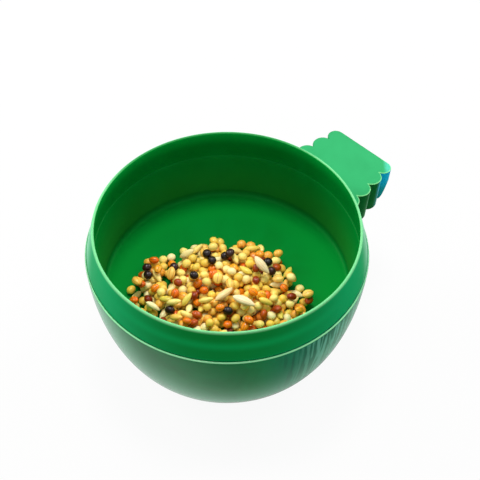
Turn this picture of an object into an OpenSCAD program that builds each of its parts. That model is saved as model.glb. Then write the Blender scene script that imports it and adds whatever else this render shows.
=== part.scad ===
// Seed cup for a bird cage: a round bowl with a notched cage bracket on its rim,
// and a lift-out inner cup that drops into the bowl and holds the seed.
// Z = 0 is the surface that the bowl stands on; the bracket points along +Y.

/* [Mouth and band] */
// Inside diameter of the mouth, at the lip
mouth_d = 76; // [66:0.5:86]
// Thickness of the lip
lip_t = 0.85; // [0.6:0.05:1.2]
// Height of the outer band, from the bowl's rim up to the lip
band_h = 9.7; // [7:0.1:13]
// How far the band flares outward from the lip down to the rim
band_flare = 2.1; // [1.2:0.1:3]
// How far the band bows out from a straight flare, at half its height
band_bow = 0.1; // [0:0.05:0.4]

/* [Inner cup] */
// Depth from the lip down to the seed floor
floor_depth = 26; // [20:0.5:30]
// Thickness of the cup's side wall below the band
cup_wall = 1; // [0.8:0.05:1.3]
// Thickness of the cup's floor
floor_t = 1.2; // [0.8:0.1:2]
// Radius between the cup's wall and floor, inside
floor_fillet = 1.6; // [0.8:0.1:3]
// Depth of the inside ledge below the bowl's rim
inner_ledge_drop = 1.2; // [0.8:0.1:2]
// Width of the inside ledge, where the band meets the side wall
inner_ledge_w = 0.3; // [0.1:0.05:0.4]
// Gap between the cup's wall and the bowl's wall
cup_gap = 0.2; // [0.1:0.05:0.4]

/* [Outer bowl] */
// Height of the whole cup, from the table to the lip
cup_h = 49; // [44:0.5:58]
// Width of the bowl's rim that stands out past the band
rim_ledge_w = 0.55; // [0.3:0.05:1]
// Height above the rim at which the bowl's curve would be widest
widest_rise = 3.05; // [0.5:0.05:6]
// Diameter of the flat base
base_d = 45.6; // [36:0.2:56]
// Thickness of the bowl's wall
bowl_wall = 1.2; // [1:0.05:1.4]
// Rounding of the rim's outer edge
rim_round = 0.3; // [0.2:0.05:0.5]

/* [Cage bracket] */
// Length of the bracket beyond the bowl's rim
bracket_l = 19.2; // [17:0.1:26]
// Depth of the bracket's skirt at the bowl
bracket_h = 12; // [9:0.5:14]
// Depth of the skirt at the bracket's far end
tip_h = 5; // [2.5:0.1:7]
// Distance from the far end to where the skirt starts to deepen
nose_start = 1.5; // [0.5:0.1:2.5]
// Length over which it deepens
nose_l = 3.2; // [2.5:0.1:6]
// How far the bracket's sides lean in towards their lower edge
side_draft = 0.8; // [0:0.1:1]
// Half width of the bracket at its outermost lobes
bracket_half_w = 12.55; // [10:0.05:15]
// How much each side widens for each millimetre towards the bowl
side_taper_share = 0.155; // [0.1:0.005:0.2]
// Distance from the far edge to the first wire groove
first_groove = 5.4; // [4.5:0.1:6.5]
// Distance from one wire groove to the next
groove_pitch = 6.25; // [5:0.05:7]
// Depth of a wire groove, from the lobes' tips
groove_depth = 2.05; // [1.5:0.05:2.3]
// Thickness of the bracket's plate and skirt
bracket_wall = 1.4; // [1:0.1:2]
// Lobes along each side, not counting the far corners
lobe_count = 3; // [1:1:4]

/* [Seed] */
// Half length of the heap, across the view from the front, over the floor's radius
heap_long_share = 0.74; // [0.6:0.01:0.76]
// Half width of the heap, over the floor's radius
heap_short_share = 0.58; // [0.4:0.01:0.62]
// Height of the heap at its middle
heap_h = 5.2; // [3:0.1:8]
// Diameter of a round millet grain
millet_d = 2.9; // [2:0.1:3.2]
// Length of a canary seed
canary_l = 5.2; // [4:0.1:5.6]
// Thickness of a canary seed
canary_d = 2.2; // [1.6:0.1:2.6]
// Grains on the heap
grain_count = 170; // [80:1:190]

/* [Hidden] */

// overrun of every cut past the face that it leaves
cut = 1;
round_sides = 96;
// steps along a rounded edge, and along a larger rounding
edge_steps = 4;
fillet_steps = 6;

// heights
rim_z = cup_h - band_h;
floor_z = cup_h - floor_depth;
ledge_z = rim_z - inner_ledge_drop;

// radii of the band and of the bowl's rim that carries it
lip_r = mouth_d / 2;
lip_round = lip_t / 2;
band_mid_r = lip_r + lip_t;
band_r = band_mid_r + band_flare;
rim_r = band_r + rim_ledge_w;

// the bowl's wall is a stretch of an ellipse that starts level, at the edge of the flat base
base_r = base_d / 2;
widest_z = rim_z + widest_rise;
curve_w = (rim_r - base_r) / sqrt(1 - pow(widest_rise / widest_z, 2));
curve_steps = 20;
// radius of the wall at height z, or of the line that lies inset from it
function curve_r(z, inset) =
    base_r + (curve_w - inset) * sqrt(max(0, 1 - pow((widest_z - z) / (widest_z - inset), 2)));
rim_inner_r = curve_r(rim_z, bowl_wall);
outer_end = asin(widest_rise / widest_z);
inner_end = asin(widest_rise / (widest_z - bowl_wall));

// the inner cup's wall runs straight from the rim to the floor, inside the bowl's curve
cup_top_r = rim_inner_r - cup_gap;
cup_low_z = floor_z - floor_t;
cup_low_r = curve_r(cup_low_z, bowl_wall) - cup_gap;
wall_slope = (cup_top_r - cup_low_r) / (rim_z - cup_low_z);
function cup_outer_r(z) = cup_low_r + wall_slope * (z - cup_low_z);
floor_r = cup_outer_r(floor_z + floor_fillet) - cup_wall;
ledge_r = cup_outer_r(ledge_z) - cup_wall;
// the band's inside widens from the lip down to the ledge
band_low_r = ledge_r + inner_ledge_w;
// the band's lower edges are cut back a little, which leaves a fine line
band_edge = 0.3;
band_top = band_h - band_edge - lip_round;
band_steps = 6;
// angle at which the lip's rounding starts and ends
lip_start = 15;

// lobes of the bracket, from the far end towards the bowl
bracket_reach = rim_r + bracket_l;
lobe_r = (pow(groove_depth, 2) + pow(groove_pitch / 2, 2)) / (2 * groove_depth);
corner_r = first_groove / 2;
corner_y = bracket_reach - corner_r;
first_lobe_y = bracket_reach - first_groove - groove_pitch / 2;
function lobe_x(y) = bracket_half_w + side_taper_share * (corner_y - y);
lobe_steps = 8;
nose_steps = 8;
lean_share = side_draft / bracket_half_w;
// half width of the block that cuts the skirt's lower edge
side_view_w = lobe_x(0);
// the bracket's sides run on inside the rim's circle, and the bowl is cut out of it
root_share = 0.85;
root_y = min(rim_r * root_share, first_lobe_y - (lobe_count - 1) * groove_pitch - lobe_r);

// the heap lies towards the front left of the floor
heap_long = floor_r * heap_long_share;
heap_short = floor_r * heap_short_share;
heap_turn = 46.4;
heap_left_share = 0.08;
heap_front_share = 0.22;
mound_steps = 5;
mound_sides = 28;
// the mound lies this far under the grains' middles, and ends this high at its edge
sunk_share = 0.5;
edge_share = 0.2;
grain_sides = 6;
grain_tilt = 28;
grain_seed = 11;
golden_angle = 137.508;
canary_share = 0.2;
// the lowest ring of a grain's corners, below its middle
grain_sit_share = cos(180 / grain_sides);

// points on an elliptical arc, from angle a0 to a1
function arc(cx, cz, rx, rz, a0, a1, steps) =
    [for (i = [0 : steps]) let (a = a0 + (a1 - a0) * i / steps) [cx + rx * cos(a), cz + rz * sin(a)]];

// the bowl's wall from the base up to the rim
function bowl_curve(inset, end) =
    arc(base_r, widest_z, curve_w - inset, widest_z - inset, -90, -end, curve_steps);

// the space that the bowl fills, which the bracket is fitted round
module bowl_solid() {
    rotate_extrude($fn = round_sides)
        polygon(concat(
            [[0, rim_z + cut], [0, 0]],
            bowl_curve(0, outer_end),
            [[rim_r, rim_z + cut]]
        ));
}

module outer_bowl() {
    inner = bowl_curve(bowl_wall, inner_end);
    color("mediumseagreen")
        rotate_extrude($fn = round_sides)
            polygon(concat(
                [[0, 0]],
                [for (p = bowl_curve(0, outer_end)) if (p[1] < rim_z - rim_round) p],
                arc(rim_r - rim_round, rim_z - rim_round, rim_round, rim_round, 0, 90, edge_steps),
                [for (i = [curve_steps : -1 : 0]) inner[i]],
                [[0, bowl_wall]]
            ));
}

// two circles cross at this angle from the line between their middles, as seen from the
// middle of the one with radius r; the other has radius other, at distance span
function crossing(r, other, span) =
    acos(min(1, (span * span + r * r - other * other) / (2 * span * r)));

// one side of the bracket's outline, from its far edge towards the bowl: a run of round
// lobes that meet in sharp grooves
function bracket_side() =
    let (
        corner_x = bracket_half_w - corner_r,
        lobe_1_x = lobe_x(first_lobe_y) - lobe_r,
        to_lobe = atan2(first_lobe_y - corner_y, lobe_1_x - corner_x),
        span = norm([lobe_1_x - corner_x, first_lobe_y - corner_y]),
        corner_end = to_lobe + crossing(corner_r, lobe_r, span),
        outward = atan(side_taper_share),
        half_lobe = 90 - crossing(lobe_r, lobe_r, groove_pitch * norm([1, side_taper_share]))
    )
    concat(
        arc(corner_x, corner_y, corner_r, corner_r, 90, corner_end, lobe_steps),
        [for (i = [0 : lobe_count - 1])
            let (
                y = first_lobe_y - i * groove_pitch,
                start = i == 0
                    ? to_lobe + 180 - crossing(lobe_r, corner_r, span)
                    : outward + half_lobe
            )
            each arc(lobe_x(y) - lobe_r, y, lobe_r, lobe_r, start, outward - half_lobe, lobe_steps)]
    );

// half width between the grooves, at a place y along the bracket
function groove_x(y) = lobe_x(y) - groove_depth;

// the skirt's lower edge as seen from the side, from where it is deep to the far end
function skirt_edge() =
    [for (i = [nose_steps : -1 : 0])
        let (
            share = i / nose_steps,
            depth = tip_h + (bracket_h - tip_h) * (1 - cos(180 * share)) / 2
        )
            [bracket_reach - nose_start - nose_l * share, rim_z - depth]];

// a prism that hangs from the rim's height, with its sides leaning in
module leaning_prism(top, depth) {
    translate([0, 0, top])
        mirror([0, 0, 1])
            linear_extrude(height = depth, slices = 1, scale = [1 - lean_share * depth / bracket_h, 1])
                children();
}

module cage_bracket() {
    side = bracket_side();
    last = len(side) - 1;
    inner_y = bracket_reach - bracket_wall;
    color("springgreen")
        difference() {
            intersection() {
                leaning_prism(rim_z, bracket_h)
                    polygon(concat(
                        side,
                        [[side[last][0], root_y], [-side[last][0], root_y]],
                        [for (i = [last : -1 : 0]) [-side[i][0], side[i][1]]]
                    ));
                rotate([90, 0, 90])
                    translate([0, 0, -side_view_w])
                        linear_extrude(height = 2 * side_view_w)
                            polygon(concat(
                                [[root_y - cut, rim_z + cut], [root_y - cut, rim_z - bracket_h]],
                                skirt_edge(),
                                [[bracket_reach + cut, rim_z - tip_h], [bracket_reach + cut, rim_z + cut]]
                            ));
            }
            // open underneath, with a skirt all round
            difference() {
                leaning_prism(rim_z - bracket_wall, bracket_h)
                    polygon([
                        [groove_x(inner_y) - bracket_wall, inner_y],
                        [groove_x(root_y) - bracket_wall, root_y],
                        [bracket_wall - groove_x(root_y), root_y],
                        [bracket_wall - groove_x(inner_y), inner_y]
                    ]);
                cylinder(r = rim_r + bracket_wall, h = rim_z, $fn = round_sides);
            }
            bowl_solid();
        }
}

// a point on the band's side, where share is its height over the band's
function band_point(top_r, low_r, share) =
    [
        low_r + (top_r - low_r) * share + 4 * band_bow * share * (1 - share),
        rim_z + band_edge + band_top * share
    ];

module inner_cup() {
    color("green")
        rotate_extrude($fn = round_sides)
            polygon(concat(
                [[0, floor_z], [0, cup_low_z]],
                // outside, upwards
                arc(cup_low_r - floor_t, floor_z, floor_t, floor_t, -90, 0, edge_steps),
                [
                    [cup_top_r, rim_z],
                    [band_r - band_edge, rim_z],
                    [band_r, rim_z + band_edge]
                ],
                [for (i = [1 : band_steps - 1]) band_point(band_mid_r, band_r, i / band_steps)],
                // the round lip
                arc(
                    lip_r + lip_round, cup_h - lip_round, lip_round, lip_round,
                    lip_start, 180 - lip_start, fillet_steps
                ),
                // inside, downwards
                [for (i = [band_steps - 1 : -1 : 0]) band_point(lip_r, band_low_r, i / band_steps)],
                [
                    [band_low_r, ledge_z + band_edge],
                    [ledge_r, ledge_z]
                ],
                arc(
                    floor_r - floor_fillet, floor_z + floor_fillet, floor_fillet, floor_fillet,
                    0, -90, fillet_steps
                )
            ));
}

// one grain, long along x
module grain(length, width) {
    hull()
        scale([length / 2, width / 2, width / 2])
            sphere(r = 1, $fn = grain_sides);
}

// height of the heap's surface, where share is the distance from its middle
function heap_top(share) = heap_h * (1 - pow(share, 2));

// the grains inside the heap, as one low mound
module seed_mound() {
    hull()
        for (k = [0 : mound_steps])
            let (
                share = k / mound_steps,
                top = max(heap_top(share) - millet_d * sunk_share, millet_d * edge_share)
            )
                scale([heap_long * share + millet_d / 2, heap_short * share + millet_d / 2, 1])
                    cylinder(r = 1, h = top, $fn = mound_sides);
}

// grains spread evenly over the mound, along the spiral of a sunflower's head
module seed_mix() {
    turn = rands(0, 360, grain_count, grain_seed);
    tilt = rands(-grain_tilt, grain_tilt, grain_count, grain_seed + 1);
    lift_share = rands(-sunk_share / 2, sunk_share / 2, grain_count, grain_seed + 2);
    kind_share = rands(0, 1, grain_count, grain_seed + 3);
    color("khaki")
        translate([0, 0, floor_z])
            rotate([0, 0, heap_turn])
                translate([-floor_r * heap_left_share, -floor_r * heap_front_share, 0]) {
                    seed_mound();
                    for (i = [0 : grain_count - 1])
                        let (
                            share = sqrt((i + 1) / grain_count),
                            a = i * golden_angle,
                            long = kind_share[i] < canary_share,
                            width = long ? canary_d : millet_d,
                            low = width / 2 * grain_sit_share,
                            z = max(low, heap_top(share) + width * lift_share[i])
                        )
                            translate([heap_long * share * cos(a), heap_short * share * sin(a), z])
                                rotate([0, z > width ? tilt[i] : 0, turn[i]])
                                    grain(long ? canary_l : width, width);
                }
}

outer_bowl();
cage_bracket();
inner_cup();
seed_mix();
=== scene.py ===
import math
import random
import bmesh
import bpy
import numpy as np
from mathutils import Matrix, Vector


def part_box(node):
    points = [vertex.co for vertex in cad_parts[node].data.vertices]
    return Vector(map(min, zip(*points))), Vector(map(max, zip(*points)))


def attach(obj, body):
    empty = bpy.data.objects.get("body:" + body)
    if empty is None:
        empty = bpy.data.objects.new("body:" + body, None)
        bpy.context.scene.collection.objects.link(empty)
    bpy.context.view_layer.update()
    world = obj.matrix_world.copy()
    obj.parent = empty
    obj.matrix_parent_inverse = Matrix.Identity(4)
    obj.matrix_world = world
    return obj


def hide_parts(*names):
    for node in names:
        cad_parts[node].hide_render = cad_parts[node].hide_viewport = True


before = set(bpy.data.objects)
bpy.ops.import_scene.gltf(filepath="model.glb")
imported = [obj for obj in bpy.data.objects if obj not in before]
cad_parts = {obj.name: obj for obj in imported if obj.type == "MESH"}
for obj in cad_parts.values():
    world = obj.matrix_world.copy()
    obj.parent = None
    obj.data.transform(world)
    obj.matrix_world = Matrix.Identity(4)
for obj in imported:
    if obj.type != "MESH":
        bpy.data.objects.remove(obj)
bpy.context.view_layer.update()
print("frame loaded:", ", ".join(sorted(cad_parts)))

mm = 0.001  # metres in a millimetre

# levels and reaches that every piece shares, read from the frame
bowlLow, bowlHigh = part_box("outer_bowl")
cupLow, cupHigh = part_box("inner_cup")
plateLow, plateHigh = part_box("cage_bracket")
lipTop = cupHigh.z
rimTop = bowlHigh.z
rimRadius = bowlHigh.x
bandRadius = cupHigh.x

camera = {
    "distance": 304 * mm,  # from the middle of the mouth
    "azimuth": 46.4,
    "elevation": 47.7,
    "focalPixels": 1063.1,
    "imageSize": 480,
    "mouthPixel": (227.0, 223.8),  # where the middle of the mouth shows
    "sensor": 36,  # its width in the lens's own millimetres
    "clip": (0.01, 20),
}


def backwards(azimuth, elevation):
    # the way from the cup to the eye
    a, e = math.radians(azimuth), math.radians(elevation)
    return Vector((math.sin(a) * math.cos(e), -math.cos(a) * math.cos(e), math.sin(e)))


def makeCamera(c):
    data = bpy.data.cameras.new("camera")
    made = bpy.data.objects.new("camera", data)
    bpy.context.scene.collection.objects.link(made)
    back = backwards(c["azimuth"], c["elevation"])
    made.location = Vector((0, 0, lipTop)) + back * c["distance"]
    made.rotation_mode = "QUATERNION"
    made.rotation_quaternion = (-back).to_track_quat("-Z", "Y")
    data.sensor_width = c["sensor"]
    data.lens = c["focalPixels"] / c["imageSize"] * c["sensor"]
    middle = c["imageSize"] / 2
    data.shift_x = (middle - c["mouthPixel"][0]) / c["imageSize"]
    data.shift_y = (c["mouthPixel"][1] - middle) / c["imageSize"]
    data.clip_start, data.clip_end = c["clip"]
    bpy.context.scene.camera = made


def spotUnder(pixel, level, c=camera):
    # the point at that height which shows at a pixel of the picture
    turn = (-backwards(c["azimuth"], c["elevation"])).to_track_quat("-Z", "Y")
    right = (pixel[0] - c["mouthPixel"][0]) / c["focalPixels"]
    up = (c["mouthPixel"][1] - pixel[1]) / c["focalPixels"]
    ray = turn @ Vector((right, up, -1))
    eye = Vector((0, 0, lipTop)) + backwards(c["azimuth"], c["elevation"]) * c["distance"]
    return eye + ray * ((level - eye.z) / ray.z)


makeCamera(camera)
print("camera placed")


def srgb(red, green, blue):
    # a colour as a picture shows it, 0 to 255, as the linear colour that a shader takes
    def linear(value):
        share = value / 255
        return share / 12.92 if share <= 0.04045 else ((share + 0.055) / 1.055) ** 2.4
    return (linear(red), linear(green), linear(blue), 1)


class Wire:
    # wraps a socket, so that shader maths reads as plain sums
    def __init__(self, finish, socket):
        self.finish = finish
        self.socket = socket

    def __add__(self, other):
        return self.finish.sum("ADD", self, other)

    def __radd__(self, other):
        return self.finish.sum("ADD", other, self)

    def __sub__(self, other):
        return self.finish.sum("SUBTRACT", self, other)

    def __rsub__(self, other):
        return self.finish.sum("SUBTRACT", other, self)

    def __mul__(self, other):
        return self.finish.sum("MULTIPLY", self, other)

    def __rmul__(self, other):
        return self.finish.sum("MULTIPLY", other, self)

    def __truediv__(self, other):
        return self.finish.sum("DIVIDE", self, other)

    def __rtruediv__(self, other):
        return self.finish.sum("DIVIDE", other, self)

    def __pow__(self, other):
        return self.finish.sum("POWER", self, other)

    def __rpow__(self, other):
        return self.finish.sum("POWER", other, self)


class Finish:
    # the nodes of one material, or of the room's light
    def __init__(self, owner):
        self.owner = owner
        owner.use_nodes = True
        self.tree = owner.node_tree
        self.tree.nodes.clear()

    def node(self, kind, settings=None, out=0, **sockets):
        made = self.tree.nodes.new(kind)
        for key, value in (settings or {}).items():
            if key == "stops":
                self.setStops(made.color_ramp, value)
            else:
                setattr(made, key, value)
        for key, value in sockets.items():
            self.plug(self.socketOf(made, key), value)
        return Wire(self, made.outputs[out]) if made.outputs else None

    def socketOf(self, made, key):
        # input names hold spaces, and those that share a name go by number, as in0
        if key.startswith("in") and key[2:].isdigit():
            return made.inputs[int(key[2:])]
        for socket in made.inputs:
            if socket.enabled and socket.name.replace(" ", "").lower() == key.lower():
                return socket
        raise KeyError(f"{made.bl_idname} has no input {key}")

    def plug(self, socket, value):
        if isinstance(value, Wire):
            self.tree.links.new(value.socket, socket)
        else:
            socket.default_value = value

    def setStops(self, ramp, stops):
        while len(ramp.elements) < len(stops):
            ramp.elements.new(1)
        for element, (place, colour) in zip(ramp.elements, stops):
            element.position = place
            element.color = colour
        ramp.interpolation = "EASE"

    def sum(self, operation, first, second, clamp=False):
        settings = {"operation": operation, "use_clamp": clamp}
        return self.node("ShaderNodeMath", settings, in0=first, in1=second)

    def clamped(self, value):
        return self.sum("ADD", value, 0, clamp=True)

    def ramp(self, value, stops):
        return self.node("ShaderNodeValToRGB", {"stops": stops}, fac=value)

    def band(self, value, low, high):
        # 0 below low, 1 above high, and a smooth rise between
        settings = {"interpolation_type": "SMOOTHSTEP"}
        return self.node("ShaderNodeMapRange", settings, value=value, frommin=low, frommax=high)

    def mix(self, share, first, second):
        return self.node("ShaderNodeMix", {"data_type": "RGBA"}, out=2, in0=share, in6=first, in7=second)

    def layer(self, share, under, over):
        # one shader over another
        return self.node("ShaderNodeMixShader", in0=share, in1=under, in2=over)

    def place(self):
        return self.node("ShaderNodeTexCoord", out=3)

    def noise(self, scale, detail=2.0, rough=0.5, at=None, warp=0.0):
        return self.node(
            "ShaderNodeTexNoise", vector=at or self.place(),
            scale=scale, detail=detail, roughness=rough, distortion=warp,
        )

    def stretched(self, scales):
        return self.node("ShaderNodeVectorMath", {"operation": "MULTIPLY"}, in0=self.place(), in1=scales)

    def stored(self, name, out):
        # a value kept on the mesh: out is 1 for three numbers, and 2 for one
        return self.node("ShaderNodeAttribute", {"attribute_name": name}, out=out)

    def ray(self, name):
        # 1 for light of that kind, such as Is Camera Ray, and else 0
        path = self.node("ShaderNodeLightPath").socket.node
        return Wire(self, path.outputs[name])

    def parts(self, vector):
        # the three shares of a vector, each as a value of its own
        split = self.node("ShaderNodeSeparateXYZ", vector=vector)
        return [Wire(self, output) for output in split.socket.node.outputs]

    def within(self, value, low, high, soft):
        # 1 between low and high, and 0 outside, with soft edges
        return self.band(value, low - soft, low + soft) * (1 - self.band(value, high - soft, high + soft))

    def outside(self, soft=2 * mm):
        # 1 where the surface faces away from the axis, 0 where it faces the axis
        normal, settings = self.node("ShaderNodeTexCoord", out=1), {"operation": "DOT_PRODUCT"}
        outward = self.node("ShaderNodeVectorMath", settings, out=1, in0=normal, in1=self.place())
        return self.band(outward, 0, soft)

    def facing(self):
        # 0 where the surface faces the eye, 1 where it turns away
        return self.node("ShaderNodeLayerWeight", out=1, blend=0.5)

    def done(self, **sockets):
        self.node("ShaderNodeOutputMaterial", surface=self.node("ShaderNodeBsdfPrincipled", **sockets))
        return self.owner


def newFinish(name):
    return Finish(bpy.data.materials.new(name))


plastic = {
    "mottleScale": 60,  # waves of pigment in each metre
    "mottleNoise": (0.35, 0.7),  # where the noise is in these bounds, the colour goes from light to deep
    "rippleScale": 260,  # waves of the moulded skin in each metre
    "rippleHeight": 0.012 * mm,
    "scuffScale": (2600, 160, 900),
    "scuffNoise": (0.6, 0.7),
    "scuffRough": 0.06,
    "roughSpread": 0.1,
    "refraction": 1.49,
}


def mouldedPlastic(name, values, marks):
    # one moulding's plastic; marks adds what is special to that piece
    finish = newFinish(name)
    mottle = finish.noise(plastic["mottleScale"], detail=3, rough=0.55, warp=0.6)
    ripple = finish.noise(plastic["rippleScale"])
    scuffs = finish.noise(1, detail=1, rough=0.4, at=finish.stretched(plastic["scuffScale"]))
    share = finish.band(mottle, *plastic["mottleNoise"])
    colour = marks(finish, finish.mix(share, values["colour"], values["deep"]))
    roughness = values["roughness"] + (mottle - 0.5) * plastic["roughSpread"]
    roughness += finish.band(scuffs, *plastic["scuffNoise"]) * plastic["scuffRough"]
    height = plastic["rippleHeight"]
    return finish.done(
        basecolor=colour, roughness=finish.clamped(roughness),
        normal=finish.node("ShaderNodeBump", strength=values["ripple"], distance=height, height=ripple),
        specularIORLevel=values["specular"], IOR=plastic["refraction"],
    )


def arcPoints(middle, radii, start, end, count):
    # points on an arc of an ellipse, in degrees from the outward side
    points = []
    for i in range(count + 1):
        a = math.radians(start + (end - start) * i / count)
        points.append((middle[0] + radii[0] * math.cos(a), middle[1] + radii[1] * math.sin(a)))
    return points


def straight(a, b, count):
    # points between a and b, without a and b themselves
    return [(a[0] + (b[0] - a[0]) * i / count, a[1] + (b[1] - a[1]) * i / count) for i in range(1, count)]


def dressMesh(mesh, material, sharpAngle, merge=0):
    # faces look outward, points nearer than merge are joined, and only corners over the angle stay sharp
    tidy = bmesh.new()
    tidy.from_mesh(mesh)
    if merge:
        bmesh.ops.remove_doubles(tidy, verts=tidy.verts, dist=merge)
    bmesh.ops.recalc_face_normals(tidy, faces=tidy.faces)
    tidy.to_mesh(mesh)
    tidy.free()
    mesh.shade_smooth()
    mesh.set_sharp_from_angle(angle=math.radians(sharpAngle))
    mesh.materials.clear()
    if material:
        mesh.materials.append(material)


def meshObject(name, points, faces, material, sharpAngle=40):
    mesh = bpy.data.meshes.new(name)
    mesh.from_pydata(points, [], faces)
    mesh.update()
    dressMesh(mesh, material, sharpAngle)
    made = bpy.data.objects.new(name, mesh)
    bpy.context.scene.collection.objects.link(made)
    return made


def turned(name, outline, material, turns=256):
    # a closed body turned from its outline, which starts and ends on the axis
    points, faces = [(0, 0, outline[0][1])], []
    inner = outline[1:-1]
    for r, z in inner:
        for k in range(turns):
            a = 2 * math.pi * k / turns
            points.append((r * math.cos(a), r * math.sin(a), z))
    points.append((0, 0, outline[-1][1]))
    last = len(points) - 1
    for k in range(turns):
        following = (k + 1) % turns
        faces.append((0, 1 + following, 1 + k))
        for j in range(len(inner) - 1):
            low, high = 1 + j * turns, 1 + (j + 1) * turns
            faces.append((low + k, low + following, high + following, high + k))
        top = 1 + (len(inner) - 1) * turns
        faces.append((top + k, top + following, last))
    return meshObject(name, points, faces, material)


bowl = {
    "baseRadius": 22.8 * mm,
    "wall": 1.2 * mm,
    "widestRise": 3.05 * mm,  # how far above the rim the curve would be widest
    "rimRound": 0.3 * mm,
    "bevel": 0.1 * mm,  # on the rim's inner edge
    "gateRadius": 1.6 * mm,  # the mark of the mould's gate, under the base
    "gateDepth": 0.3 * mm,
    "steps": 48,
    "colour": srgb(0, 120, 62),
    "deep": srgb(0, 108, 54),
    "roughness": 0.18,
    "specular": 0.32,
    "ripple": 0.25,
    # painted highlight: the light line along the rim's ledge
    "ledgeColour": srgb(140, 220, 160),
    "ledgeFrom": (0.1 * mm, 0.3 * mm),  # the light line starts this far out from the cup's band
    "ledgeLevel": (-0.39 * mm, -0.21 * mm),  # and this far under the rim's top
    "ledgeSide": (0.65, 0.95),  # towards both flanks it fades, between these squares of the share
    "ledgeFade": 0.5,
    # painted reflection: the right flank is tinted bluer
    "flankAim": (0.69, 0.724),  # the side where the right flank lies, from above
    "flankFrom": (0.15, 0.5),  # where it starts, 0 at the front and 1 at the side
    "flankFront": (-0.35, -0.05),  # and where it ends, behind the side
    "flankColour": srgb(0, 116, 84),
    "flankShare": 0.8,
    # painted reflection: pale and dark strokes on the right flank, where it turns away
    "strokeScale": (34, 60),  # strokes in each radian round the bowl, and in each metre of height
    "strokeFacing": (0.38, 0.55),  # they show where the side turns away this far
    "strokeLevel": (10 * mm, 18 * mm),
    "strokeTop": (-0.8 * mm, -0.5 * mm),
    "darkColour": srgb(0, 66, 52),
    "darkShare": 0.42,
    "darkFrom": (0.3, 0.45),
    "darkNoise": (0.42, 0.52),
    "paleColour": srgb(120, 205, 180),
    "paleShare": 0.6,
    "paleFrom": (0.42, 0.7),
    "paleNoise": (0.46, 0.56),
    "farColour": srgb(108, 212, 160),  # painted reflection, where the side turns away
    "farFacing": (0.58, 0.92),
    "farShare": 0.5,
}


def bowlEllipse():
    # the height where the bowl's curve would be widest, and its reach out from the base
    widest = rimTop + bowl["widestRise"]
    return widest, (rimRadius - bowl["baseRadius"]) / math.sqrt(1 - (bowl["widestRise"] / widest) ** 2)


def bowlCurve(inset, steps):
    # the bowl's wall, from its base up to the rim, as a stretch of an ellipse
    widest, reach = bowlEllipse()
    end = math.degrees(math.asin(bowl["widestRise"] / (widest - inset)))
    return arcPoints((bowl["baseRadius"], widest), (reach - inset, widest - inset), -90, -end, steps)


def bowlMarks(finish, colour):
    # painted highlight and reflection: the rim is a light line, the right flank is bluer, with pale and dark
    # strokes, and the side is lighter where it turns away
    x, y, z = finish.parts(finish.place())
    out = (x * x + y * y) ** 0.5
    side = (x * bowl["flankAim"][0] + y * bowl["flankAim"][1]) / out
    front = (x * bowl["flankAim"][1] - y * bowl["flankAim"][0]) / out
    shown = finish.outside() * finish.band(front, *bowl["flankFront"])
    flank = finish.band(side, *bowl["flankFrom"]) * shown
    colour = finish.mix(flank * bowl["flankShare"], colour, bowl["flankColour"])
    across, rise = bowl["strokeScale"]
    turn = finish.sum("ARCTAN2", side, front)
    strokes = finish.noise(1, at=finish.node("ShaderNodeCombineXYZ", x=turn * across, y=z * rise))
    facing = finish.facing()
    struck = shown * finish.band(facing, *bowl["strokeFacing"]) * finish.band(z, *bowl["strokeLevel"])
    struck *= 1 - finish.band(z - rimTop, *bowl["strokeTop"])
    dark = (1 - finish.band(strokes, *bowl["darkNoise"])) * finish.band(side, *bowl["darkFrom"]) * struck
    colour = finish.mix(dark * bowl["darkShare"], colour, bowl["darkColour"])
    pale = finish.band(strokes, *bowl["paleNoise"]) * finish.band(side, *bowl["paleFrom"]) * struck
    colour = finish.mix(pale * bowl["paleShare"], colour, bowl["paleColour"])
    far = finish.band(facing, *bowl["farFacing"]) * bowl["farShare"]
    colour = finish.mix(far, colour, bowl["farColour"])
    ledge = finish.band(out - bandRadius, *bowl["ledgeFrom"]) * finish.band(z - rimTop, *bowl["ledgeLevel"])
    ledge *= 1 - finish.band(side * side, *bowl["ledgeSide"]) * bowl["ledgeFade"]
    return finish.mix(ledge, colour, bowl["ledgeColour"])


def makeBowl():
    # each arc or straight ends with its count of steps
    outside = [p for p in bowlCurve(0, bowl["steps"]) if p[1] < rimTop - bowl["rimRound"]]
    inside = bowlCurve(bowl["wall"], bowl["steps"])
    rounding = (bowl["rimRound"], bowl["rimRound"])
    edge = arcPoints((rimRadius - bowl["rimRound"], rimTop - bowl["rimRound"]), rounding, 0, 90, 6)
    gate, depth = bowl["gateRadius"], bowl["gateDepth"]
    outline = [(0, bowlLow.z + depth)]
    outline += arcPoints((gate - depth, bowlLow.z), (depth, depth), 90, 0, 4)
    outline += straight((gate, bowlLow.z), (bowl["baseRadius"], bowlLow.z), 8)
    outline += outside + edge
    outline += [(inside[-1][0] + bowl["bevel"], rimTop)] + inside[::-1]
    outline += [(0, bowl["wall"])]
    made = turned("outerBowl", outline, mouldedPlastic("bowlPlastic", bowl, bowlMarks))
    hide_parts("outer_bowl")
    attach(made, "bowl")


makeBowl()
print("outer bowl turned")

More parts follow.
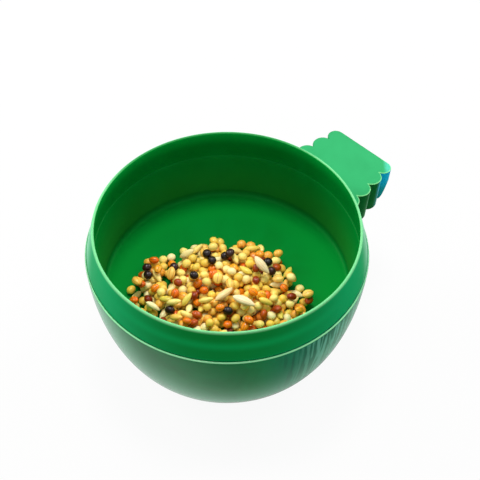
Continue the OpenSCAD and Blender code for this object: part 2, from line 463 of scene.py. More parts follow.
cup = {
    "mouthRadius": 38 * mm,
    "lip": 0.85 * mm,
    "wall": 1 * mm,
    "floor": 1.2 * mm,
    "fillet": 1.6 * mm,
    "ledgeDrop": 1.2 * mm,
    "ledgeWidth": 0.3 * mm,
    "gap": 0.2 * mm,  # between the cup's wall and the bowl's
    "edge": 0.3 * mm,
    "bow": 0.1 * mm,  # how far the band bows out from a straight flare
    "colour": srgb(0, 128, 46),
    "deep": srgb(0, 121, 40),
    "roughness": 0.36,
    "specular": 0.03,
    "ripple": 0.25,
    # painted highlight: the light line along the lip
    "lipColour": srgb(146, 232, 166),
    "lipLevel": (-0.42 * mm, -0.18 * mm),  # inside, the light line starts this far under the lip's top
    "lipFrom": (0, 0.25 * mm),  # and this far out from the mouth
    "lipShare": 0.52,
    "fadeLevel": (-0.85 * mm, 0),  # outside, it fades over this depth
    "fadeShare": 0.6,
    "backAim": (-0.83, 0.55),  # the side where the line fades away, from above
    "lipBack": (0.5, 0.85),
    "backFade": 0.75,
    "wallColour": srgb(40, 132, 42),  # painted reflection: a little olive, where the walls mirror the seed
    "wallLevel": (0.4 * mm, 2.4 * mm),  # over the floor
    "wallFade": 3 * mm,  # it fades from here up to the bowl's rim
    "wallShare": 0.55,
    "groundColour": srgb(0, 130, 44),  # painted light: the floor gets lighter outwards
    "groundFrom": (23 * mm, 31 * mm),
    "groundLevel": (0.1 * mm, 0.4 * mm),
    "cornerColour": srgb(0, 88, 28),  # and ends in a darker line of painted shade, where the walls start
    "cornerLevel": (0.5 * mm, 1.9 * mm),
    "cornerSoft": 0.3 * mm,
    "cornerShare": 0.25,
    "highColour": srgb(0, 168, 66),  # painted light on the far wall, under its lip
    "highLevel": (-6 * mm, 0),
    "highBack": (-0.2, 0.6),
    # painted shade: the outside of the band is darker
    "bandColour": srgb(0, 116, 40),
    "bandLevel": (0, 0.2 * mm),  # the band starts this far over the bowl's rim
    "bandShare": 0.8,
    "sheenColour": srgb(0, 162, 82),
    "sheenLevel": (4.2 * mm, 6.2 * mm),  # the painted sheen, a soft light line on the band, lies this far over the rim
    "sheenSoft": 1.2 * mm,
    "sheenShare": 0.6,
    # painted reflection: the band is lighter towards its flanks
    "flankColour": srgb(4, 156, 90),
    "flankFacing": (0.15, 0.6),
    "farColour": srgb(130, 205, 165),  # painted reflection at the very edge, where the band turns away
    "farFacing": (0.74, 0.98),
}
floorTop = cupLow.z + cup["floor"]


def bowlInsideRadius(level):
    widest, reach = bowlEllipse()
    share = (widest - level) / (widest - bowl["wall"])
    return bowl["baseRadius"] + (reach - bowl["wall"]) * math.sqrt(1 - share**2)


def cupOutsideRadius(level):
    # the cup's side wall is a straight cone from the rim down to its floor
    top = bowlInsideRadius(rimTop) - cup["gap"]
    low = bowlInsideRadius(cupLow.z) - cup["gap"]
    return low + (top - low) * (level - cupLow.z) / (rimTop - cupLow.z)


def bandPoints(topRadius, lowRadius, count):
    # one side of the band, from its lower edge up to the lip, nearly straight
    tall = lipTop - rimTop - cup["edge"] - cup["lip"] / 2
    points = []
    for i in range(count + 1):
        share = i / count
        radius = lowRadius + (topRadius - lowRadius) * share + 4 * cup["bow"] * share * (1 - share)
        points.append((radius, rimTop + cup["edge"] + tall * share))
    return points


def cupMarks(finish, colour):
    # painted highlight and reflection: the lip is a light line, the band is lighter towards its flanks, and
    # the walls are a little olive, mirroring the seed
    x, y, z = finish.parts(finish.place())
    out, facing = (x * x + y * y) ** 0.5, finish.facing()
    over, under = z - floorTop, z - lipTop
    outside = finish.outside() * finish.band(z - rimTop, *cup["bandLevel"])
    inside = 1 - outside
    walls = finish.band(over, *cup["wallLevel"]) * (1 - finish.band(over, cup["wallFade"], rimTop - floorTop))
    colour = finish.mix(walls * cup["wallShare"], colour, cup["wallColour"])
    ground = finish.band(out, *cup["groundFrom"]) * (1 - finish.band(over, *cup["groundLevel"]))
    colour = finish.mix(ground, colour, cup["groundColour"])
    corner = finish.within(over, *cup["cornerLevel"], cup["cornerSoft"]) * cup["cornerShare"]
    colour = finish.mix(corner * inside, colour, cup["cornerColour"])
    back = (x * cup["backAim"][0] + y * cup["backAim"][1]) / cup["mouthRadius"]
    high = finish.band(under, *cup["highLevel"]) * finish.band(back, *cup["highBack"]) * inside
    colour = finish.mix(high, colour, cup["highColour"])
    colour = finish.mix(outside * cup["bandShare"], colour, cup["bandColour"])
    sheen = finish.within(z - rimTop, *cup["sheenLevel"], cup["sheenSoft"]) * outside * cup["sheenShare"]
    colour = finish.mix(sheen, colour, cup["sheenColour"])
    colour = finish.mix(finish.band(facing, *cup["flankFacing"]) * outside, colour, cup["flankColour"])
    colour = finish.mix(finish.band(facing, *cup["farFacing"]) * outside, colour, cup["farColour"])
    lip = finish.band(under, *cup["lipLevel"]) * finish.band(out - cup["mouthRadius"], *cup["lipFrom"])
    fade = finish.band(under, *cup["fadeLevel"]) * outside
    lip = finish.sum("MAXIMUM", lip * cup["lipShare"], fade * cup["fadeShare"])
    lip *= 1 - finish.band(back, *cup["lipBack"]) * cup["backFade"]
    return finish.mix(lip, colour, cup["lipColour"])


def makeCup():
    # the outline runs from under the floor, up the outside, over the lip and down the inside
    floor, lip, edge, fillet = cup["floor"], cup["lip"], cup["edge"], cup["fillet"]
    mouth, ledge = cup["mouthRadius"], rimTop - cup["ledgeDrop"]
    ledgeRadius = cupOutsideRadius(ledge) - cup["wall"]
    lowBand = ledgeRadius + cup["ledgeWidth"]
    floorRadius = cupOutsideRadius(floorTop + fillet) - cup["wall"]
    corner = cupOutsideRadius(cupLow.z) - floor
    outline = [(0, cupLow.z)]
    outline += straight((0, cupLow.z), (corner, cupLow.z), 6)
    outline += arcPoints((corner, floorTop), (floor, floor), -90, 0, 8)
    outline += straight(outline[-1], (cupOutsideRadius(rimTop), rimTop), 8)
    outline += [(cupOutsideRadius(rimTop), rimTop), (bandRadius - edge, rimTop)]
    outline += arcPoints((bandRadius - edge, rimTop + edge), (edge, edge), -60, 0, 5)
    outline += bandPoints(mouth + lip, bandRadius, 20)[1:-1]
    outline += arcPoints((mouth + lip / 2, lipTop - lip / 2), (lip / 2, lip / 2), 10, 170, 12)
    outline += bandPoints(mouth, lowBand, 20)[-2::-1]
    outline += straight((lowBand, rimTop + edge), (lowBand, ledge + 2 * edge), 3)
    outline += arcPoints((lowBand - edge, ledge + edge), (edge, edge), 0, -80, 5)
    outline += [(ledgeRadius, ledge - edge / 4)]
    outline += straight((ledgeRadius, ledge - edge), (floorRadius, floorTop + fillet), 10)
    outline += arcPoints((floorRadius - fillet, floorTop + fillet), (fillet, fillet), 0, -90, 12)
    outline += straight((floorRadius - fillet, floorTop), (0, floorTop), 10)
    outline += [(0, floorTop)]
    made = turned("innerCup", outline, mouldedPlastic("cupPlastic", cup, cupMarks))
    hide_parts("inner_cup")
    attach(made, "cup")


makeCup()
print("inner cup turned")

bracket = {
    "farWidth": 12.55 * mm,  # half width at the far corners
    "taper": 0.155,
    "firstGroove": 5.4 * mm,
    "pitch": 6.25 * mm,
    "grooveDepth": 2.05 * mm,
    "wall": 1.4 * mm,
    "lobes": 3,
    "rounding": 0.35 * mm,
    "lobeSteps": 14,
    "root": 32 * mm,  # the sides run on to here, and the bowl is cut out of them
    "overlap": 0.4 * mm,  # how far the bracket sits inside the bowl's wall
    "tipDepth": 5 * mm,  # the skirt's depth at the far end
    "noseStart": 1.5 * mm,  # how far from there the skirt starts to deepen
    "nose": 3.2 * mm,  # length over which it deepens
    "noseSteps": 24,
    "lean": 0.8 / 12.55,  # how far the sides lean in at their lower edge, over their half width
    "clear": 1 * mm,  # how far the cutting bodies run past what they cut
    "sharpAngle": 35,
    "merge": 0.001 * mm,  # points nearer than this are one, after the cuts
    # painted light: the plate is lighter than the cup's and bowl's plastic, as sheen and light through the
    # thin plate
    "colour": srgb(50, 158, 98),
    "deep": srgb(46, 150, 92),
    "roughness": 0.34,
    "specular": 0.03,
    "ripple": 0.3,
    "plateRise": (-0.9, -0.6),  # where the plate's colour starts, in shares of the rounding under its top
    "edgeColour": srgb(150, 240, 160),  # a painted highlight on the rounding, on the right
    "farEdgeColour": srgb(40, 128, 84),  # and painted shade on the left
    "edgeRise": (-0.7, -0.05),
    "edgeSoft": 0.05,
    "edgeShare": 0.7,
    "edgeFrom": (5 * mm, 9 * mm),
    # painted shade: the side walls are darker than the plate
    "wallColour": srgb(0, 100, 40),
    "rimColour": srgb(70, 190, 130),  # painted reflection, where the walls turn away
    "rimFacing": (0.74, 0.95),
    "castColour": srgb(0, 172, 206),  # the light that falls on the walls of the far right corner
    "castDeep": srgb(6, 146, 146),
    "castAcross": (10 * mm, 11.6 * mm),
    "castAlong": (51.4 * mm, 54.2 * mm),
    "castLevel": (-9 * mm, -3 * mm),  # it goes from deep to light over these levels under the plate's top
    "castTop": srgb(96, 214, 196),
    "castCorner": (-5.5 * mm, -3 * mm),  # on the plate, it starts this far in from the corner
    "castTopShare": 0.5,
}


def crossing(radius, other, span):
    # the angle at a circle's middle between the other circle's middle and the point where they cross
    return math.degrees(math.acos(min(1, (span**2 + radius**2 - other**2) / (2 * span * radius))))


def bracketSide():
    # one side of the plate, from its far edge towards the bowl: round lobes that meet in grooves
    b = bracket
    cornerR = b["firstGroove"] / 2
    lobeR = (b["grooveDepth"] ** 2 + (b["pitch"] / 2) ** 2) / (2 * b["grooveDepth"])
    corner = Vector((b["farWidth"] - cornerR, plateHigh.y - cornerR))
    firstY = plateHigh.y - b["firstGroove"] - b["pitch"] / 2
    outward = math.degrees(math.atan(b["taper"]))

    def lobeMiddle(y):
        return Vector((b["farWidth"] + b["taper"] * (corner.y - y) - lobeR, y))

    first = lobeMiddle(firstY)
    toLobe = math.degrees(math.atan2(first.y - corner.y, first.x - corner.x))
    span = (first - corner).length
    end = toLobe + crossing(cornerR, lobeR, span)
    side = arcPoints(corner, (cornerR, cornerR), 90, end, b["lobeSteps"])
    half = 90 - crossing(lobeR, lobeR, b["pitch"] * math.hypot(1, b["taper"]))
    for i in range(b["lobes"]):
        start = toLobe + 180 - crossing(lobeR, cornerR, span) if i == 0 else outward + half
        middle = lobeMiddle(firstY - i * b["pitch"])
        side += arcPoints(middle, (lobeR, lobeR), start, outward - half, b["lobeSteps"])[1:]
    return side


def insetLoop(loop, distance):
    # the loop moved inwards, each point along the middle of its corner; the loop runs clockwise
    moved = []
    for i, point in enumerate(loop):
        before, after = Vector(loop[i - 1]), Vector(loop[(i + 1) % len(loop)])
        a, b = (Vector(point) - before).normalized(), (after - Vector(point)).normalized()
        normal = Vector((a.y + b.y, -a.x - b.x))
        normal = normal.normalized() if normal.length > 1e-6 else Vector((a.y, -a.x))
        stretch = 1 / max(0.5, normal.dot(Vector((a.y, -a.x))))
        moved.append((point[0] + normal.x * distance * stretch, point[1] + normal.y * distance * stretch))
    return moved


def prism(name, rings):
    # a closed body from rings of equal count, lowest first, each a loop and its height
    count = len(rings[0][0])
    points = [(x, y, z) for loop, z in rings for x, y in loop]
    faces = [tuple(range(count))[::-1], tuple(range(len(points) - count, len(points)))]
    for j in range(len(rings) - 1):
        for k in range(count):
            following = (k + 1) % count
            low, high = j * count, (j + 1) * count
            faces.append((low + k, low + following, high + following, high + k))
    return meshObject(name, points, faces, None)


def cutAway(body, tool):
    bpy.context.view_layer.update()
    cut = body.modifiers.new("cut", "BOOLEAN")
    cut.operation, cut.object, cut.solver = "DIFFERENCE", tool, "EXACT"
    shown = bpy.context.evaluated_depsgraph_get()
    mesh = bpy.data.meshes.new_from_object(body.evaluated_get(shown))
    body.modifiers.clear()
    body.data = mesh
    bpy.data.objects.remove(tool)


def clockwise(loop):
    area = sum(a[0] * b[1] - b[0] * a[1] for a, b in zip(loop, loop[1:] + loop[:1]))
    return loop if area < 0 else loop[::-1]


def bracketMarks(finish, colour):
    # painted light and shade: a light plate over dark side walls, with coloured light on the far right corner
    b = bracket
    x, y, z = finish.parts(finish.place())
    under = z - plateHigh.z
    rise = under / b["rounding"]
    walls = finish.mix(finish.band(finish.facing(), *b["rimFacing"]), b["wallColour"], b["rimColour"])
    cast = finish.mix(finish.band(under, *b["castLevel"]), b["castDeep"], b["castColour"])
    walls = finish.mix(finish.band(x, *b["castAcross"]) * finish.band(y, *b["castAlong"]), walls, cast)
    corner = finish.band(x + y - (b["farWidth"] + plateHigh.y), *b["castCorner"])
    colour = finish.mix(corner * b["castTopShare"], colour, b["castTop"])
    edge = finish.within(rise, *b["edgeRise"], b["edgeSoft"]) * b["edgeShare"]
    right = finish.band(x, *b["edgeFrom"])
    colour = finish.mix(edge * right, colour, b["edgeColour"])
    colour = finish.mix(edge * (1 - right), colour, b["farEdgeColour"])
    return finish.mix(finish.band(rise, *b["plateRise"]), walls, colour)


def leaning(loop, depth):
    # the loop with its sides leaned in, as they are that far under the plate's top
    share = 1 - bracket["lean"] * depth / (plateHigh.z - plateLow.z)
    return [(x * share, y) for x, y in loop]


def sideView():
    # all that lies under the skirt's lower edge, as seen from the side, as one cutting body
    low, high = plateHigh.z - plateLow.z, bracket["tipDepth"]
    edge = []
    for i in range(bracket["noseSteps"] + 1):
        share = i / bracket["noseSteps"]
        depth = high + (low - high) * (1 - math.cos(math.pi * share)) / 2
        edge.append((plateHigh.y - bracket["noseStart"] - bracket["nose"] * share, plateHigh.z - depth))
    clear = bracket["clear"]
    loop = [(plateHigh.y + clear, plateHigh.z - high)] + edge
    loop += [(edge[-1][0], plateLow.z - clear), (plateHigh.y + clear, plateLow.z - clear)]
    reach = plateHigh.x + clear
    tool = prism("sideView", [(loop, -reach), (loop, reach)])
    # the loop was drawn flat, so its own x, y and z become y, z and x
    tool.data.transform(Matrix(((0, 0, 1, 0), (1, 0, 0, 0), (0, 1, 0, 0), (0, 0, 0, 1))))
    return tool


def bowlForm():
    # the space that the bowl takes up, a little smaller, as a cutting body
    wall = bowlCurve(bracket["overlap"], bowl["steps"])
    top = rimTop + bracket["clear"]
    outline = [(0, bracket["overlap"])] + wall + [(wall[-1][0], top), (0, top)]
    return turned("bowlForm", outline, None, 128)


def makeBracket():
    side = bracketSide()
    root = [(side[-1][0], bracket["root"]), (-side[-1][0], bracket["root"])]
    loop = clockwise(side + root + [(-x, y) for x, y in side[::-1]])
    r, deep = bracket["rounding"], plateHigh.z - plateLow.z
    rings = [(leaning(loop, deep), plateLow.z), (leaning(loop, r), plateHigh.z - r)]
    for angle in (22.5, 45, 67.5, 90):
        a = math.radians(angle)
        depth = r * (1 - math.sin(a))
        rings.append((leaning(insetLoop(loop, r * (1 - math.cos(a))), depth), plateHigh.z - depth))
    body = prism("cageBracket", rings)
    wall, depth = bracket["wall"], bracket["grooveDepth"]
    far, near = plateHigh.y - wall, rimRadius + wall

    def hollowHalf(y):
        outer = bracket["farWidth"] + bracket["taper"] * (plateHigh.y - bracket["firstGroove"] / 2 - y)
        return outer - depth - wall

    farHalf, nearHalf = hollowHalf(far), hollowHalf(near)
    hollow = [(farHalf, far), (nearHalf, near), (-nearHalf, near), (-farHalf, far)]
    cutAway(body, sideView())
    cutAway(body, prism("bracketHollow", [
        (leaning(hollow, deep + wall), plateLow.z - wall),
        (leaning(hollow, wall), plateHigh.z - wall),
    ]))
    cutAway(body, bowlForm())
    coating = mouldedPlastic("bracketPlastic", bracket, bracketMarks)
    dressMesh(body.data, coating, bracket["sharpAngle"], bracket["merge"])
    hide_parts("cage_bracket")
    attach(body, "bowl")


makeBracket()
print("cage bracket made")

# each kind of seed: how many, its length, width and thickness in millimetres, its shape and its colours
seedKinds = {
    "millet": {
        "count": 310, "size": (2.95, 2.75, 2.4), "point": 0.12, "gloss": 0.3, "ridges": 0,
        "tones": [srgb(255, 242, 178), srgb(255, 232, 128), srgb(252, 208, 76), srgb(238, 206, 84),
                  srgb(246, 172, 62)],
        "tip": srgb(190, 112, 40),
    },
    "redMillet": {
        "count": 92, "size": (3.1, 2.5, 2.2), "point": 0.25, "gloss": 0.16, "ridges": 3,
        "tones": [srgb(254, 176, 40), srgb(252, 142, 18), srgb(236, 108, 10), srgb(190, 80, 6),
                  srgb(128, 38, 2)],
        "tip": srgb(110, 30, 6),
    },
    "canary": {
        "count": 70, "size": (5.0, 2.1, 1.9), "point": 0.85, "gloss": 0.28, "ridges": 0,
        "tones": [srgb(255, 242, 180), srgb(254, 228, 128), srgb(234, 212, 84), srgb(250, 194, 90)],
        "tip": srgb(196, 130, 56),
    },
    "paddy": {
        "count": 6, "size": (6.8, 2.8, 2.2), "point": 0.9, "gloss": 0.32, "ridges": 5,
        "tones": [srgb(250, 228, 180), srgb(244, 214, 152), srgb(236, 200, 130)],
        "tip": srgb(206, 160, 96),
    },
    "rape": {
        "count": 16, "size": (2.9, 2.7, 2.5), "point": 0.04, "gloss": 0.16, "ridges": 0,
        "tones": [srgb(30, 10, 12), srgb(18, 8, 10), srgb(70, 34, 30)],
        "tip": srgb(40, 24, 22),
    },
    "oatGroat": {
        "count": 26, "size": (3.9, 3.1, 2.2), "point": 0.45, "gloss": 0.24, "ridges": 3,
        "tones": [srgb(254, 212, 104), srgb(250, 176, 54), srgb(224, 130, 44)],
        "tip": srgb(168, 84, 30),
    },
}

grain = {
    "sides": 14,
    "rings": 9,
    "sizes": (0.9, 1.08),  # from the smallest to the largest, as shares of the kind's size
    "bend": 0.1,  # how far long ones bend, as a share of their width
    "taper": 0.55,  # how much sooner pointed ones get narrow
    "blunt": 0.18,  # how much thicker their blunt end is
    "crease": 0.1,
}

heap = {
    "turn": camera["azimuth"],  # the heap is laid out as seen from the front
    "middle": (-3 * mm, -8 * mm),
    "reach": (27.5 * mm, 21.6 * mm),
    "edge": 0.97,  # grains land within this share of the reach
    "middleShare": 1.05,  # how likely a grain stays where it lands, in the middle
    "edgeLoss": 0.75,  # and how much less likely at the edge
    "seed": 5,
    "settle": 0.86,  # how closely the layers sink into each other
    "rolls": 14,  # how often a grain may roll on
    "rollStep": 0.5 * mm,
    "rollDrop": 0.05 * mm,  # the least drop that makes it roll
    "ballSpread": 0.8,  # a long grain settles as three balls, which reach this far to its ends
    "roundLength": 0.3 * mm,  # and as one ball, where they would be nearer than this
    "steepest": 0.45,  # the largest tilt, in radians
    "spin": 0.35,  # how far grains turn round their length, in radians
    "topGuess": 5 * mm,  # grains that stand out are first sought at this height over the floor
    "topRadius": 1.2 * mm,
    "topTries": 3,
}

# grains that stand out, by the pixel where they show, with the way that long ones point
toppings = {
    "rape": [(147, 268), (148, 275), (174, 267), (194, 276), (207, 254), (212, 260), (225, 256), (230, 253),
             (268, 262), (272, 264), (170, 310), (228, 311)],
    "redMillet": [(154, 260), (158, 269), (213, 274), (256, 280), (260, 254), (257, 267), (142, 288),
                  (134, 300), (175, 293), (204, 290), (220, 308), (253, 292), (262, 294), (284, 289),
                  (292, 294), (264, 313), (277, 309), (299, 310), (245, 327), (249, 320), (187, 321),
                  (197, 315), (178, 282), (309, 300), (193, 284)],
    "oatGroat": [(171, 274), (137, 281), (218, 285), (278, 279), (291, 277), (308, 294), (230, 284)],
    "paddy": [(244, 301, -23), (262, 265, -45), (224, 294, 42)],
    "canary": [(187, 298, 50), (153, 306, -20), (174, 302, 10), (176, 317, -25), (187, 253, 15),
               (252, 248, 10), (266, 303, -8), (206, 299, 5)],
    "millet": [(214, 241), (213, 247), (291, 277)],
}


def grainShape(kind, rng):
    # one grain round the x axis, as points, faces and each point's share along the grain's own axes
    length, width, thick = (v * mm * rng.uniform(*grain["sizes"]) for v in kind["size"])
    sides, rings, point = grain["sides"], grain["rings"], kind["point"]
    bend = rng.uniform(-grain["bend"], grain["bend"]) * width if point > 0.5 else 0
    points, along = [(-length / 2, 0, 0)], [(-1, 0, 0)]
    for j in range(1, rings):
        t = -math.cos(math.pi * j / rings)
        girth = math.sqrt(1 - t * t) ** (1 + grain["taper"] * point)
        girth *= 1 - grain["blunt"] * point * t
        for k in range(sides):
            a = 2 * math.pi * k / sides
            crease = 1 - grain["crease"] * point * max(0, math.cos(a)) ** 6
            points.append((
                length / 2 * t,
                width / 2 * girth * math.sin(a) + bend * (1 - t * t),
                thick / 2 * girth * math.cos(a) * crease,
            ))
            along.append((t, girth * math.sin(a), girth * math.cos(a)))
    points.append((length / 2, 0, 0))
    along.append((1, 0, 0))
    faces = []
    for k in range(sides):
        following = (k + 1) % sides
        faces.append((0, 1 + following, 1 + k))
        for j in range(rings - 2):
            low, high = 1 + j * sides, 1 + (j + 1) * sides
            faces.append((low + k, low + following, high + following, high + k))
        top = 1 + (rings - 2) * sides
        faces.append((top + k, top + following, len(points) - 1))
    return points, faces, along


class Heap:
    # grains settle one by one on the floor and on each other
    def __init__(self):
        self.balls = np.zeros((0, 4))

    def rest(self, x, y, radius):
        # the height at which a ball comes to rest there
        level = floorTop + radius * heap["settle"]
        if len(self.balls):
            aside = (self.balls[:, 0] - x) ** 2 + (self.balls[:, 1] - y) ** 2
            gap = (self.balls[:, 3] + radius) ** 2 - aside
            near = gap > 0
            if near.any():
                level = max(level, (self.balls[near, 2] + heap["settle"] * np.sqrt(gap[near])).max())
        return level

    def lay(self, x, y, angle, kind, rolls, rng):
        # a grain lands, rolls on to lower spots, and stays as one or three balls
        length, width, thick = (v * mm for v in kind["size"])
        radius = (width + thick) / 4
        half = max(0, length / 2 - radius) * heap["ballSpread"]
        ux, uy = math.cos(angle), math.sin(angle)

        def level(px, py):
            if half < heap["roundLength"]:
                return self.rest(px, py, radius), 0
            ends = [self.rest(px + s * half * ux, py + s * half * uy, radius) for s in (-1, 1)]
            middle = self.rest(px, py, radius)
            return max(middle, sum(ends) / 2), math.atan2(ends[1] - ends[0], 2 * half)

        best, tilt = level(x, y)
        for _ in range(rolls):
            moved = False
            for k in range(6):
                a = math.pi * k / 3 + rng.uniform(0, 1)
                px, py = x + heap["rollStep"] * math.cos(a), y + heap["rollStep"] * math.sin(a)
                found, lean = level(px, py)
                if found < best - heap["rollDrop"] and insideHeap(px, py):
                    x, y, best, tilt, moved = px, py, found, lean, True
            if not moved:
                break
        tilt = max(-heap["steepest"], min(heap["steepest"], tilt))
        for s in (-1, 0, 1) if half >= heap["roundLength"] else (0,):
            ball = (x + s * half * ux, y + s * half * uy, best + s * half * math.tan(tilt), radius)
            self.balls = np.vstack([self.balls, ball])
        return Vector((x, y, best)), tilt


def insideHeap(x, y):
    a = math.radians(heap["turn"])
    u, v = x * math.cos(a) + y * math.sin(a), y * math.cos(a) - x * math.sin(a)
    u, v = (u - heap["middle"][0]) / heap["reach"][0], (v - heap["middle"][1]) / heap["reach"][1]
    return u * u + v * v < 1


def heapSpot(rng):
    # a drawn place in the heap, less likely towards its edge
    a = math.radians(heap["turn"])
    while True:
        u, v = rng.uniform(-1, 1), rng.uniform(-1, 1)
        share = math.hypot(u, v)
        if share < heap["edge"] and rng.random() < heap["middleShare"] - share**2 * heap["edgeLoss"]:
            px = u * heap["reach"][0] + heap["middle"][0]
            py = v * heap["reach"][1] + heap["middle"][1]
            return px * math.cos(a) - py * math.sin(a), px * math.sin(a) + py * math.cos(a)


def makeSeeds():
    # the drawn grains land first, and then the ones that stand out
    rng = random.Random(heap["seed"])
    pile, laid = Heap(), {name: [] for name in seedKinds}
    names = [name for name, kind in seedKinds.items() for _ in range(kind["count"] - len(toppings[name]))]
    rng.shuffle(names)
    for name in names:
        x, y = heapSpot(rng)
        angle = rng.uniform(0, 2 * math.pi)
        place, tilt = pile.lay(x, y, angle, seedKinds[name], heap["rolls"], rng)
        laid[name].append((place, angle, tilt))
    for name, spots in toppings.items():
        for spot in spots:
            over = spotUnder(spot[:2], floorTop + heap["topGuess"])
            angle = math.radians((spot[2] if len(spot) > 2 else rng.uniform(0, 360)) + heap["turn"])
            for _ in range(heap["topTries"]):
                level = pile.rest(over.x, over.y, heap["topRadius"])
                over = spotUnder(spot[:2], level)
            place, tilt = pile.lay(over.x, over.y, angle, seedKinds[name], 0, rng)
            laid[name].append((place, angle, tilt))
    for name, kind in seedKinds.items():
        joinGrains(name, kind, laid[name], rng)


def joinGrains(name, kind, places, rng):
    # all grains of a kind as one mesh, which keeps each grain's tone and each point's place along its axes
    points, faces, along, tone = [], [], [], []
    for place, angle, tilt in places:
        shape, sides, far = grainShape(kind, rng)
        roll = rng.gauss(0, heap["spin"])
        turn = (
            Matrix.Translation(place) @ Matrix.Rotation(angle, 4, "Z") @ Matrix.Rotation(-tilt, 4, "Y")
            @ Matrix.Rotation(roll, 4, "X")
        )
        start = len(points)
        points += [turn @ Vector(p) for p in shape]
        faces += [tuple(start + i for i in f) for f in sides]
        along += far
        tone += [rng.random()] * len(shape)
    made = meshObject(name + "Seeds", points, faces, seedCoat(name + "Coat", kind), 80)
    made.data.attributes.new("tone", "FLOAT", "POINT").data.foreach_set("value", tone)
    shares = made.data.attributes.new("own", "FLOAT_VECTOR", "POINT")
    shares.data.foreach_set("vector", [value for point in along for value in point])
    if name == "millet":
        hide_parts("seed_mix")
    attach(made, "seed")


coat = {
    "blotchScale": 700,  # blotches of colour in each metre
    "blotchSpread": 0.35,
    "fineScale": 4200,
    "fineHeight": 0.4,
    "ridgeFrom": (0.72, 0.95),
    "ridgeShare": 0.5,
    "ridgeHeight": 0.8,
    "tipFrom": (0.84, 0.98),  # 0 is the grain's middle and 1 its tip
    "tipShare": 0.8,
    # painted shade: each grain darkens in its tip colour towards its rim, where it turns away
    "edgeFacing": (0.45, 0.9),
    "edgeShare": 0.35,
    "bump": 0.5,
    "bumpHeight": 0.02 * mm,
    "roughSpread": 0.2,
    "specular": 0.32,
    "scatter": 0.04,
    "scatterReach": (1.2 * mm, 0.7 * mm, 0.3 * mm),
}


def seedCoat(name, kind):
    finish = newFinish(name)
    along, across, up = finish.parts(finish.stored("own", 1))
    blotch = finish.noise(coat["blotchScale"], detail=3, rough=0.6)
    fine = finish.noise(coat["fineScale"])
    tones = kind["tones"]
    stops = [(i / (len(tones) - 1), colour) for i, colour in enumerate(tones)]
    tone = finish.stored("tone", 2) + (blotch - 0.5) * coat["blotchSpread"]
    colour = finish.ramp(finish.clamped(tone), stops)
    height = blotch + fine * coat["fineHeight"]
    if kind["ridges"]:
        turn = finish.sum("ARCTAN2", across, up)
        ridge = finish.node("ShaderNodeMath", {"operation": "COSINE"}, in0=turn * (2 * kind["ridges"]))
        colour = finish.mix(finish.band(ridge, *coat["ridgeFrom"]) * coat["ridgeShare"], colour, kind["tip"])
        height -= ridge * coat["ridgeHeight"]
    colour = finish.mix(finish.band(along, *coat["tipFrom"]) * coat["tipShare"], colour, kind["tip"])
    # painted shade at each grain's rim
    edge = finish.band(finish.facing(), *coat["edgeFacing"]) * coat["edgeShare"]
    deep = coat["bumpHeight"]
    return finish.done(
        basecolor=finish.mix(edge, colour, kind["tip"]),
        roughness=finish.clamped(kind["gloss"] + (fine - 0.5) * coat["roughSpread"]),
        normal=finish.node("ShaderNodeBump", strength=coat["bump"], distance=deep, height=height),
        specularIORLevel=coat["specular"], subsurfaceweight=coat["scatter"],
        subsurfaceradius=coat["scatterReach"], subsurfacescale=1,
    )


makeSeeds()
print("seeds laid")

stage = {
    "floorSize": 3,
    "floorColour": (0.6, 0.6, 0.6, 1),
    "floorGlow": 0.93,  # the share of the floor's look that is plain white
    "mirrorLight": 0.78,  # the floor's look in what the plastic mirrors
    "mirrorDark": 0.15,  # and where the viewer's shade falls on it
    "shadeAim": (1, 0.024),  # the way from the cup to that shade, from above
    "shadeFrom": (8 * mm, 60 * mm),
    "ambient": 0.62,  # how strongly the room lights, where it looks plain white
    "gap": 0.02 * mm,  # the floor lies this far under the bowl's base
    "white": (1, 1, 1, 1),
}

# in degrees, each lamp's angle goes from the viewer's right round to the back, and its rise upwards
lamps = {
    "key": {"angle": 98, "rise": 76, "distance": 0.9, "size": 0.3, "power": 5.2, "colour": (1, 0.99, 0.97)},
    "leftBack": {"angle": 150, "rise": 26, "distance": 0.8, "size": 0.4, "power": 3.8, "colour": (1, 1, 1)},
    "rightBack": {"angle": 40, "rise": 24, "distance": 0.8, "size": 0.4, "power": 3, "colour": (1, 1, 1)},
}


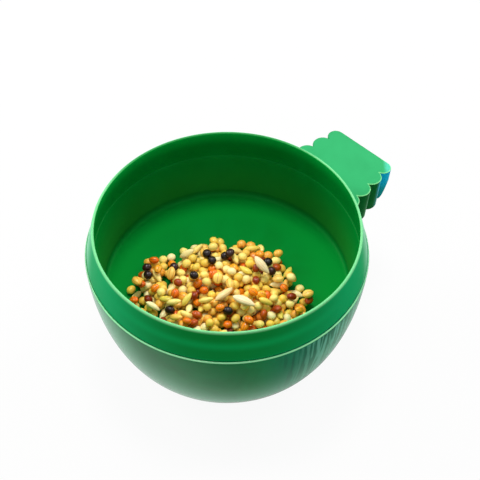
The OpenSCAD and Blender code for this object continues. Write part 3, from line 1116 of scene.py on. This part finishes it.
def makeFloor():
    size = stage["floorSize"]
    corners = [(-size, -size, 0), (size, -size, 0), (size, size, 0), (-size, size, 0)]
    finish = newFinish("floorPaint")
    x, y = finish.parts(finish.place())[:2]
    towards = x * stage["shadeAim"][0] + y * stage["shadeAim"][1]
    shade = finish.band(towards, *stage["shadeFrom"])
    paint = finish.node("ShaderNodeBsdfDiffuse", color=stage["floorColour"])
    glow, light, dark = [
        finish.node("ShaderNodeEmission", color=stage["white"], strength=strength)
        for strength in (1, stage["mirrorLight"], stage["mirrorDark"])
    ]
    lit = finish.layer(finish.ray("Is Glossy Ray"), paint, finish.layer(shade, light, dark))
    seen = finish.ray("Is Camera Ray") * stage["floorGlow"]
    finish.node("ShaderNodeOutputMaterial", surface=finish.layer(seen, lit, glow))
    floor = meshObject("floor", corners, [(0, 1, 2, 3)], finish.owner)
    floor.location.z = -stage["gap"]


def makeLamp(name, angle, rise, distance, size, power, colour):
    turn, lift = math.radians(camera["azimuth"] + angle), math.radians(rise)
    aim = Vector((0, 0, rimTop))
    towards = Vector((math.cos(turn) * math.cos(lift), math.sin(turn) * math.cos(lift), math.sin(lift)))
    data = bpy.data.lights.new(name, "AREA")
    data.shape, data.size, data.energy, data.color = "DISK", size, power, colour
    lamp = bpy.data.objects.new(name, data)
    bpy.context.scene.collection.objects.link(lamp)
    lamp.location = aim + towards * distance
    lamp.rotation_mode = "QUATERNION"
    lamp.rotation_quaternion = (-towards).to_track_quat("-Z", "Y")


def makeLights():
    # the room is plain white to the camera and in what the plastic mirrors, and dimmer as a light
    world = bpy.data.worlds.new("studio")
    bpy.context.scene.world = world
    finish = Finish(world)
    seen = finish.ray("Is Camera Ray")
    for name in ("Is Transmission Ray", "Is Glossy Ray"):
        seen = finish.sum("MAXIMUM", seen, finish.ray(name))
    strength = finish.node("ShaderNodeMapRange", value=seen, tomin=stage["ambient"], tomax=1)
    room = finish.node("ShaderNodeBackground", color=stage["white"], strength=strength)
    finish.node("ShaderNodeOutputWorld", surface=room)
    for name, values in lamps.items():
        makeLamp(name, **values)


makeFloor()
makeLights()
print("floor and lights set")

scene = bpy.context.scene
scene.view_settings.view_transform = "Standard"
